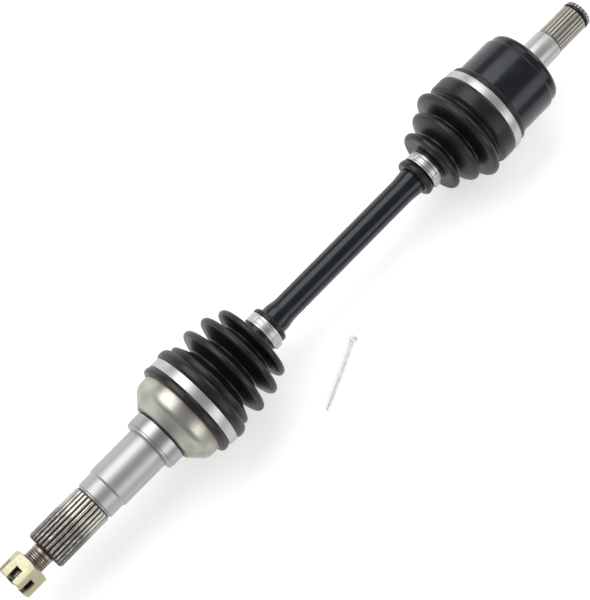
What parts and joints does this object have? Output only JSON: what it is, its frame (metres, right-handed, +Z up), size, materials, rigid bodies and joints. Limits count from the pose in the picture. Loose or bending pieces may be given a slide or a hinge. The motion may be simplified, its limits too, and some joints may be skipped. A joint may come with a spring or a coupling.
{
  "type": "cv axle",
  "caption": "Front drive shaft: fixed ball joint with splined, threaded wheel stub, bar, and plunging ball joint with splined gearbox stub, under two ribbed boots.",
  "frame": {"origin": "on the axle's axis at the shoulder that the wheel bearing seats against", "axes": "+X along the axle towards the gearbox end, +Z up as it lies on a floor"},
  "size_m": [0.605, 0.1182, 0.0838],
  "materials": {
    "black_paint": "gloss black paint over steel",
    "boot_rubber": "satin black moulded rubber",
    "clamp_steel": "bright satin stainless band",
    "spring_steel": "dark spring steel",
    "bearing_steel": "ground bearing steel, lightly greased",
    "yellow_zinc": "pale yellow passivated zinc",
    "grey_zinc": "pale grey zinc",
    "machined_steel": "turned and forged bare steel"
  },
  "bodies": {
    "bar": {"bar": "black_paint", "outboard_inner_race": "bearing_steel", "outboard_race_circlip": "spring_steel", "inboard_inner_race": "bearing_steel", "inboard_race_circlip": "spring_steel", "outboard_small_clamp": "clamp_steel", "inboard_small_clamp": "clamp_steel"},
    "outboard_upper_ball": {"outboard_ball_1": "bearing_steel"},
    "outboard_cage": {"outboard_cage": "bearing_steel", "outboard_ball_2": "bearing_steel", "outboard_ball_3": "bearing_steel", "outboard_ball_5": "bearing_steel", "outboard_ball_6": "bearing_steel"},
    "outboard_lower_ball": {"outboard_ball_4": "bearing_steel"},
    "wheel_stub": {"outboard_housing": "machined_steel", "seal_collar": "machined_steel", "outboard_large_clamp": "clamp_steel", "outboard_boot": "boot_rubber"},
    "castle_nut": {"castle_nut": "yellow_zinc"},
    "inboard_cage": {"inboard_cage": "bearing_steel", "inboard_ball_1": "bearing_steel", "inboard_ball_3": "bearing_steel", "inboard_ball_4": "bearing_steel", "inboard_ball_6": "bearing_steel"},
    "inboard_side_balls": {"inboard_ball_2": "bearing_steel", "inboard_ball_5": "bearing_steel"},
    "gearbox_stub": {"inboard_housing": "black_paint", "inboard_boot": "boot_rubber", "inboard_large_clamp": "clamp_steel", "inboard_stop_ring": "spring_steel", "gearbox_circlip": "spring_steel"},
    "cotter_pin": {"cotter_pin": "grey_zinc"}
  },
  "joints": [
    {"name": "outboard_bump", "type": "hinge", "parent": "bar", "child": "outboard_upper_ball", "pos_m": [0.044, 0, 0], "axis": [0, 1, 0], "range_deg": [-8, 8], "deforming": ["outboard_boot"]},
    {"name": "outboard_steer", "type": "hinge", "parent": "outboard_upper_ball", "child": "outboard_cage", "pos_m": [0.044, 0, 0], "axis": [0, 0, 1], "range_deg": [-12, 12], "deforming": ["outboard_boot"]},
    {"name": "outboard_steer_half", "type": "hinge", "parent": "outboard_cage", "child": "outboard_lower_ball", "pos_m": [0.044, 0, 0], "axis": [0, 0, 1], "range_deg": [-12, 12]},
    {"name": "outboard_bump_half", "type": "hinge", "parent": "outboard_lower_ball", "child": "wheel_stub", "pos_m": [0.044, 0, 0], "axis": [0, 1, 0], "range_deg": [-8, 8]},
    {"name": "nut_unscrew", "type": "slide", "parent": "wheel_stub", "child": "castle_nut", "axis": [-1, 0, 0], "range_m": [0, 0.03]},
    {"name": "inboard_bump", "type": "hinge", "parent": "bar", "child": "inboard_cage", "pos_m": [0.375, 0, 0], "axis": [0, 1, 0], "range_deg": [-9, 9], "deforming": ["inboard_boot"]},
    {"name": "inboard_bump_half", "type": "hinge", "parent": "inboard_cage", "child": "inboard_side_balls", "pos_m": [0.375, 0, 0], "axis": [0, 1, 0], "range_deg": [-9, 9]},
    {"name": "inboard_plunge", "type": "slide", "parent": "inboard_side_balls", "child": "gearbox_stub", "axis": [1, 0, 0], "range_m": [-0.008, 0.008], "deforming": ["inboard_boot"]},
    {"name": "cotter_pin_lift", "type": "slide", "parent": "bar", "child": "cotter_pin", "axis": [0, 0, 1], "range_m": [0, 0.03]}
  ],
  "couplings": [
    {"joint": "outboard_bump_half", "follows": "outboard_bump", "ratio": 1},
    {"joint": "outboard_steer_half", "follows": "outboard_steer", "ratio": 1},
    {"joint": "inboard_bump_half", "follows": "inboard_bump", "ratio": 1}
  ]
}
